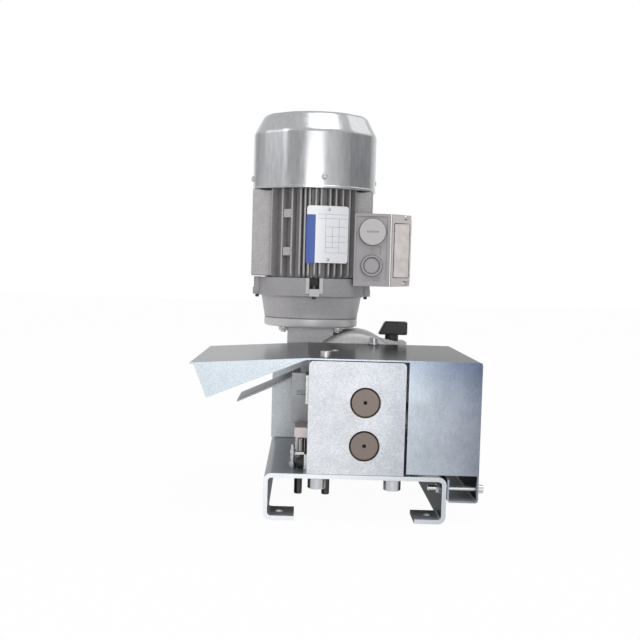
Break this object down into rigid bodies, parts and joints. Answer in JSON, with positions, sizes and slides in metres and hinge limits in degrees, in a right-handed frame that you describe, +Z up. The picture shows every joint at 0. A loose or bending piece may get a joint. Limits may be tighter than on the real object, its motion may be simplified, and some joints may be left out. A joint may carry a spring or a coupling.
{
  "type": "wire stripping machine",
  "caption": "Bench machine that strips cable: motor and worm gearbox drive toothed feed rollers past a blade under a hinged sheet guard, on a bent sheet base.",
  "frame": {"origin": "middle of the bounding box's bottom, on the floor under the feet", "axes": "+Z up along the motor's axis, +Y from the bearing plates back to the gearbox, +X towards the infeed side"},
  "size_m": [0.267, 0.333, 0.3955],
  "materials": {
    "zinc_plated_steel": "zinc plated sheet and plate, satin with fine spangle",
    "turned_steel": "turned bright bar",
    "bright_screw_steel": "bright zinc plated screws and ground rings",
    "dark_steel": "blackened steel",
    "die_cast_aluminium": "die cast, grey, fine grained",
    "galvanised_sheet": "deep drawn sheet, bright",
    "grey_moulding": "moulded, fine grained",
    "beige_lid": "moulded, fine grained",
    "black_moulding": "moulded, smooth",
    "gasket_rubber": "cut sheet",
    "bearing_bronze": "turned bearing bronze",
    "winding_copper": "varnished copper winding on steel sheets",
    "stacked_laminations": "stacked sheet rotor on a ground shaft",
    "nameplate_white": "bare plate, pale",
    "tool_steel": "ground tool steel",
    "brass": "turned, ribbed"
  },
  "bodies": {
    "base": {"base_channel": "zinc_plated_steel", "blanking_plug": "grey_moulding", "drive_end_bearing": "bright_screw_steel", "drive_end_shield": "die_cast_aluminium", "fan_cowl": "galvanised_sheet", "fan_end_bearing": "bright_screw_steel", "fan_end_shield": "die_cast_aluminium", "front_bearing_plate": "zinc_plated_steel", "front_lower_bush": "bearing_bronze", "front_upper_bush": "bearing_bronze", "front_wheel_bearing": "bright_screw_steel", "gearbox_housing": "die_cast_aluminium", "gearbox_side_cover": "die_cast_aluminium", "hinge_bolt": "bright_screw_steel", "hinge_nut": "bright_screw_steel", "infeed_guide": "tool_steel", "input_flange": "die_cast_aluminium", "knockout_plug": "grey_moulding", "left_dowel_pin": "dark_steel", "left_plate_screw": "dark_steel", "lock_screw": "black_moulding", "lower_block": "tool_steel", "lower_worm_bearing": "bright_screw_steel", "nameplate": "nameplate_white", "plate_tie_bar": "bright_screw_steel", "rear_bearing_plate": "zinc_plated_steel", "rear_lower_bush": "bearing_bronze", "rear_upper_bush": "bearing_bronze", "rear_wall": "zinc_plated_steel", "rear_wheel_bearing": "bright_screw_steel", "right_dowel_pin": "dark_steel", "right_plate_screw": "dark_steel", "sheath_deflector": "zinc_plated_steel", "side_stud": "bright_screw_steel", "stator_housing": "die_cast_aluminium", "terminal_block": "black_moulding", "terminal_box": "grey_moulding", "terminal_gasket": "gasket_rubber", "terminal_lid": "beige_lid", "upper_guide_block": "tool_steel", "upper_worm_bearing": "bright_screw_steel", "wound_stator_core": "winding_copper"},
    "guard": {"guard_cover": "zinc_plated_steel"},
    "motor_rotor": {"rotor": "stacked_laminations", "fan": "black_moulding", "worm_shaft": "tool_steel"},
    "upper_feed": {"upper_feed_shaft": "turned_steel", "upper_spur_gear": "tool_steel", "upper_gear_key": "bright_screw_steel", "worm_wheel": "bearing_bronze", "worm_wheel_key": "bright_screw_steel"},
    "lower_feed": {"lower_feed_shaft": "turned_steel", "lower_spur_gear": "tool_steel", "lower_gear_key": "bright_screw_steel"},
    "depth_nut": {"knurled_nut": "brass"},
    "blade_slide": {"blade_holder": "zinc_plated_steel", "blade": "tool_steel", "depth_stud": "bright_screw_steel"},
    "clamp": {"clamp_grip": "black_moulding", "clamp_stud": "bright_screw_steel"}
  },
  "joints": [
    {"name": "guard_tip", "type": "hinge", "parent": "base", "child": "guard", "pos_m": [0.1282, -0.1575, 0.0315], "axis": [1, 0, 0], "range_deg": [0, 95]},
    {"name": "motor_spin", "type": "hinge", "parent": "base", "child": "motor_rotor", "pos_m": [-0.025, 0.0975, 0.2], "axis": [0, 0, 1], "continuous": true},
    {"name": "upper_feed_spin", "type": "hinge", "parent": "base", "child": "upper_feed", "pos_m": [0.0245, -0.0665, 0.108], "axis": [0, 1, 0], "continuous": true},
    {"name": "lower_feed_spin", "type": "hinge", "parent": "base", "child": "lower_feed", "pos_m": [0.0245, -0.1165, 0.069], "axis": [0, 1, 0], "continuous": true},
    {"name": "depth_nut_turn", "type": "hinge", "parent": "base", "child": "depth_nut", "pos_m": [-0.032, -0.1285, 0.064], "axis": [0, 0, 1], "range_deg": [0, 1440]},
    {"name": "blade_lift", "type": "slide", "parent": "base", "child": "blade_slide", "axis": [0, 0, 1], "range_m": [0, 0.004]},
    {"name": "clamp_turn", "type": "hinge", "parent": "base", "child": "clamp", "pos_m": [0.0675, 0.0975, 0.155], "axis": [0, 0, 1], "range_deg": [-180, 180]}
  ],
  "couplings": [
    {"joint": "upper_feed_spin", "follows": "motor_spin", "ratio": 0.035714},
    {"joint": "lower_feed_spin", "follows": "motor_spin", "ratio": -0.035714},
    {"joint": "depth_nut_turn", "follows": "blade_lift", "rad_per_m": 6283.2}
  ]
}
